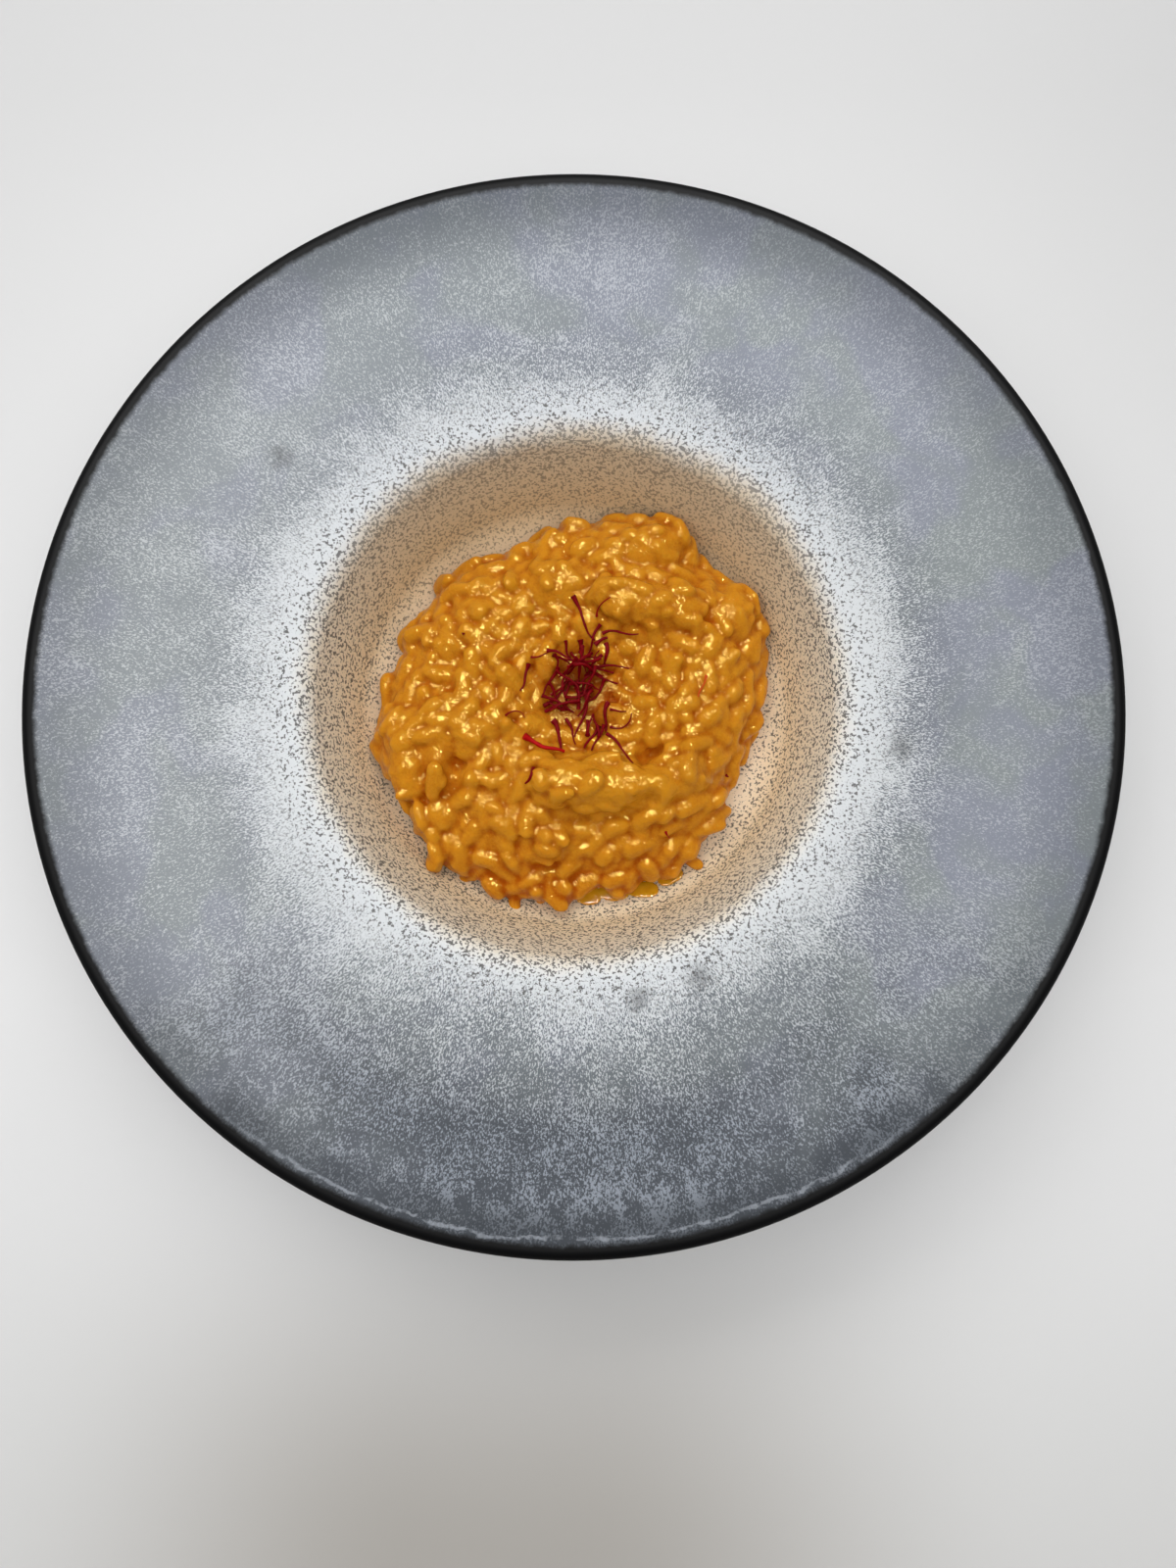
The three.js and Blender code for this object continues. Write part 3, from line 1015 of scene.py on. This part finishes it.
def take_tone(piece, sauce):
    """The attribute "tone" of each vertex from the sauce that lies nearest to it."""
    tree = KDTree(len(sauce.data.vertices))
    for index, vertex in enumerate(sauce.data.vertices):
        tree.insert(vertex.co, index)
    tree.balance()
    source = sauce.data.attributes["tone"].data
    tone = piece.data.attributes.new("tone", "FLOAT", "POINT")
    for index, vertex in enumerate(piece.data.vertices):
        tone.data[index].value = source[tree.find(vertex.co)[1]].value


PALE_SAFFRON = colour(206, 139, 31)
# Deep in the creases: partly the sauce's own deeper colour, partly painted shade.
DEEP_SAUCE_AND_SHADE = colour(161, 72, 4)
# Rice under and between the threads: saffron dye and painted shade.
DYED_AND_SHADED_RICE = colour(144, 57, 5)
# Painted light makes the smooth fold in front paler.
FRONT_FOLD_LIGHT = (8, -24, 24, 9)  # the smooth fold in front is paler: place, half length and half width
# Painted shade darkens the near margin of the heap and deepens its creases.
NEAR_MARGIN_SHADE = (36, 52)  # millimetres from the middle to where the near margin starts and is full
SAUCE_SOFTNESS = 1.0  # millimetres that light reaches in under the surface
GRAIN_SOFTNESS = 0.5


def risotto_material(name, softness):
    """Wet saffron-yellow rice: pale on its swells, deeper in its creases, partly as painted shade;
    painted shade also at the near margin and under the threads, and painted light on the front fold.
    """
    material, shader, place = new_material(name)
    patches = place.noise(13.0, 3.0, 0.55)
    small = place.noise(2.6, 2.0, 0.5)
    cloudy = place.noise(0.7, 2.0, 0.6, 0.6)
    tone = tone_mark(material)
    x, y, _ = place.parts()
    dye_shade_x, dye_shade_y, dye_shade_radius = THREAD_DYE_AND_SHADE
    away = distance(x, y, dye_shade_x, dye_shade_y)
    dye_and_shade = 1 - (away + (patches - 0.5) * 10).step(3, dye_shade_radius)
    # Painted shade on the near margin.
    margin = (y * -1.0).step(*NEAR_MARGIN_SHADE)
    # Painted light on the front fold.
    fold_x, fold_y, half_length, half_width = FRONT_FOLD_LIGHT
    fold = ((x - fold_x) / half_length) ** 2 + ((y - fold_y) / half_width) ** 2
    fold = 1 - fold.step(0.3, 1.3)
    share = 0.68 + (tone - 0.5) * (1.1 + margin * 0.5)
    share = share + (patches - 0.5) * 0.4 + (small - 0.5) * 0.2 + (cloudy - 0.5) * 0.5
    share = share - dye_and_shade * 0.4 - margin * 0.23 + fold * 0.15
    base = share.step(0.0, 1.0).mix(DEEP_SAUCE_AND_SHADE, PALE_SAFFRON)
    feed(shader, "Base Color", (dye_and_shade * 0.75).mix(base, DYED_AND_SHADED_RICE))
    feed(shader, "Roughness", 0.02 + small * 0.03 + dye_and_shade * 0.3)
    ripple = place.noise(2.0, 1.0, 0.5, 1.2) * 1.3
    feed(shader, "Normal", bump(ripple, 0.55, 0.5))
    feed(shader, "IOR", 1.45)
    feed(shader, "Specular Tint", (1.0, 0.85, 0.22, 1.0))
    feed(shader, "Subsurface Weight", 0.5)
    feed(shader, "Subsurface Radius", (1.0, 0.52, 0.15))
    feed(shader, "Subsurface Scale", softness * MM)
    return material


# ---- saffron ----


def thread_route(tree, laid, x, y, heading, length, bend, girth):
    """Points (place, radius) of a thread over the rice and the threads laid before it."""
    steps = max(3, round(length / THREAD_STEP))
    sway = chance.uniform(0, math.tau)
    plan = []
    for i in range(steps + 1):
        share = i / steps
        shake = chance.uniform(-THREAD_SHAKE, THREAD_SHAKE)
        swing = THREAD_SWAY * math.sin(sway + 5 * share) + shake
        turn = math.radians(heading + bend * share + swing)
        plan.append(Vector((x, y)))
        x += length / steps * math.cos(turn)
        y += length / steps * math.sin(turn)
    radii = []
    for i in range(steps + 1):
        share = i / steps
        flare = 1 + THREAD_FLARE * max(0.0, 1 - share * 5)
        taper = 1 - THREAD_TAPER * share
        radii.append(THREAD_GIRTH * girth * flare * taper * chance.uniform(0.8, 1.15))
    rests = []
    for at, radius in zip(plan, radii):
        rest = surface_height(tree, at.x, at.y) + radius * THREAD_REST
        for other, over in laid:
            if math.hypot(at.x - other.x, at.y - other.y) < radius + over:
                rest = max(rest, other.z + (radius + over) * CROSSING)
        rests.append(rest)
    heights = rests[:]
    for _ in range(TAUT_ROUNDS):
        for i in range(1, steps):
            hanging = (heights[i - 1] + heights[i + 1]) / 2 - THREAD_SAG
            heights[i] = max(rests[i], hanging)
    if length > SPRINGY_LENGTH:
        heights[-1] += chance.uniform(0, 0.8)
        heights[0] += chance.uniform(0, 0.5)
    route = [(Vector((at.x, at.y, z)), r) for at, z, r in zip(plan, heights, radii)]
    laid.extend(route)
    return route


def saffron_threads(sauce):
    """Every thread is a bevelled curve along its route; all are joined to one piece."""
    tree = BVHTree.FromObject(sauce, bpy.context.evaluated_depsgraph_get())
    laid = []
    threads = []
    for x, y, heading, length, bend, girth, brightness in THREADS:
        route = thread_route(tree, laid, x, y, heading, length, bend, girth)
        curve = bpy.data.curves.new("thread", "CURVE")
        curve.dimensions = "3D"
        curve.bevel_depth = MM
        curve.bevel_resolution = 1
        curve.resolution_u = 3
        curve.use_fill_caps = True
        spline = curve.splines.new("NURBS")
        spline.points.add(len(route) - 1)
        for point, (place, radius) in zip(spline.points, route):
            point.co = (*(place * MM), 1)
            point.radius = radius
        spline.order_u = 3
        spline.use_endpoint_u = True
        thread = new_object("thread", curve)
        select_only(thread)
        bpy.ops.object.convert(target="MESH")
        mark = thread.data.attributes.new("tone", "FLOAT", "POINT")
        mark.data.foreach_set("value", np.full(len(thread.data.vertices), brightness))
        threads.append(thread)
    piece = join(threads)
    piece.name = "saffron_threads"
    bpy.ops.object.shade_smooth()
    return piece


def saffron_material():
    """Dried saffron: dark crimson, and more orange where the thread's tone is high."""
    material, shader, place = new_material("dried_saffron")
    tone = tone_mark(material)
    mottle = place.noise(0.9, 2.0, 0.5)
    base = mottle.mix(colour(88, 0, 8), colour(142, 6, 16))
    base = tone.step(0.0, 0.7).mix(base, colour(176, 14, 16))
    base = tone.step(0.6, 1.0).mix(base, colour(206, 84, 18))
    feed(shader, "Base Color", base)
    feed(shader, "Roughness", 0.62)
    feed(shader, "Specular IOR Level", 0.04)
    return material


# ---- light and camera ----


def aim(thing, target):
    """Turns a light or camera to look at a point."""
    direction = target - thing.location
    thing.rotation_euler = direction.to_track_quat("-Z", "Y").to_euler()


LIT_POINT = Vector((0, 0, 0.03))  # metres: the lights face the middle of the plate's well


def soft_light(name, place, size, power, turn=0.0):
    """A flat light facing the plate; turn is about its own axis, in radians."""
    data = bpy.data.lights.new(name, "AREA")
    data.shape = "RECTANGLE"
    data.size, data.size_y = size
    data.energy = power
    light = new_object(name, data)
    light.location = place
    aim(light, LIT_POINT)
    light.rotation_euler.rotate_axis("Z", turn)
    return light


# Painted soft shadow on the table's near side, in millimetres: x of its middle, and where it fades out.
SHADE_X = -20
SHADE_ACROSS = (20, 150)
SHADE_NEAR = (120, 230)
# Painted light and shade on the table, from its near to its far side, by millimetres.
TABLE_PAINTED_LIGHT = [
    (-260, 204, 203, 201),
    (-200, 212, 212, 211),
    (-137, 220, 220, 220),
    (-78, 224, 224, 224),
    (96, 208, 208, 208),
    (200, 200, 200, 200),
]


def table_top():
    """A white table; a soft painted shadow on its near side stands for someone standing there."""
    bpy.ops.object.select_all(action="DESELECT")
    bpy.ops.mesh.primitive_plane_add(size=6)
    table = bpy.context.object
    table.name = "table_top"
    material, shader, place = new_material("table_white")
    x, y, _ = place.parts()
    aside = ((x - SHADE_X) * (x - SHADE_X)) ** 0.5
    # Painted shadow on the near side of the table.
    shaded = (0 - y).step(*SHADE_NEAR) * (1 - aside.step(*SHADE_ACROSS))
    feed(shader, "Base Color", (shaded * 0.9).mix(ramp(y, TABLE_PAINTED_LIGHT), colour(160, 155, 148)))
    feed(shader, "Roughness", 0.55)
    table.data.materials.append(material)


# Window panes that show only as glints: place, width and height in metres, turn in degrees.
PANES = [
    (-0.42, 0.7, 1.1, 0.34, 0.11, 20),
    (0.28, 0.78, 1.1, 0.11, 0.32, 10),
    (0.28, 0.22, 1.4, 0.28, 0.08, -30),
    (-0.22, 0.42, 1.35, 0.09, 0.28, 15),
    (0.04, 0.58, 1.3, 0.28, 0.08, -15),
    (-0.55, 0.15, 1.3, 0.3, 0.09, 60),
    (0.5, 0.02, 1.4, 0.26, 0.08, 25),
]
PANE_GLOW = 75.0  # watts per square metre and steradian
# Broad lights that show no glints: name, place, size in metres, and power in watts.
BROAD_LIGHTS = [
    ("window", (-0.3, 0.95, 1.15), (2.6, 0.6), 12),
    ("near_fill", (0.0, -0.4, 1.45), (2.6, 0.4), 4.6),
    ("white_ceiling", (0, 0, 1.5), (2.4, 2.4), 21),
]
ROOM_LIGHT = 0.14


def studio():
    """A white room with a window, lit softly, and small bright panes for the glints."""
    scene = bpy.context.scene
    scene.view_settings.view_transform = "Standard"
    scene.view_settings.look = "None"
    world = bpy.data.worlds.new("room")
    world.use_nodes = True
    background = world.node_tree.nodes["Background"]
    background.inputs["Color"].default_value = (1, 1, 1, 1)
    background.inputs["Strength"].default_value = ROOM_LIGHT
    scene.world = world
    for name, place, size, power in BROAD_LIGHTS:
        light = soft_light(name, place, size, power)
        light.visible_glossy = False
    for number, (x, y, z, width, height, turn) in enumerate(PANES):
        power = width * height * math.pi * PANE_GLOW
        pane = soft_light(f"pane_{number}", (x, y, z), (width, height), power, math.radians(turn))
        pane.visible_diffuse = False


def camera():
    """Looks down on the plate from over its near side."""
    data = bpy.data.cameras.new("over_the_table")
    data.lens = LENS
    data.sensor_fit = "VERTICAL"
    data.sensor_height = SENSOR
    data.clip_start = 0.01
    eye = new_object("over_the_table", data)
    eye.location = EYE * MM
    aim(eye, AIM * MM)
    bpy.context.scene.camera = eye


# ---- making ----


camera()
studio()
table_top()

plate = turned_plate()
glaze_plate(plate)
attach(plate, "root")
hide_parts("plate")

core = core_of_heap()
models = grain_models()
fold_core(core)
press_pockets(core)
bed = scattered(models, core, BED_SPACING, BED_LIFT, "rice_bed")
top = scattered(models, core, TOP_SPACING, TOP_LIFT, "rice_top")
join([top, *loose_grains(models)])
sauce = sauce_over([core, bed, top])
settle(sauce)
apply_modifier(sauce, "DECIMATE", ratio=SAUCE_TRIANGLES / triangles(sauce))
sauce.data.materials.append(risotto_material("saffron_sauce", SAUCE_SOFTNESS))
for grains in (bed, top):
    take_tone(grains, sauce)
    grains.data.materials.clear()
    grains.data.materials.append(risotto_material(grains.name + "_skin", GRAIN_SOFTNESS))

threads = saffron_threads(sauce)
threads.data.materials.append(saffron_material())

film = thin_sauce()
film.data.materials.append(thin_sauce_material())

for piece in (sauce, bed, top, threads, film):
    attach(piece, "root")
    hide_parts("risotto")

for spare in (core, *models):
    bpy.data.objects.remove(spare)
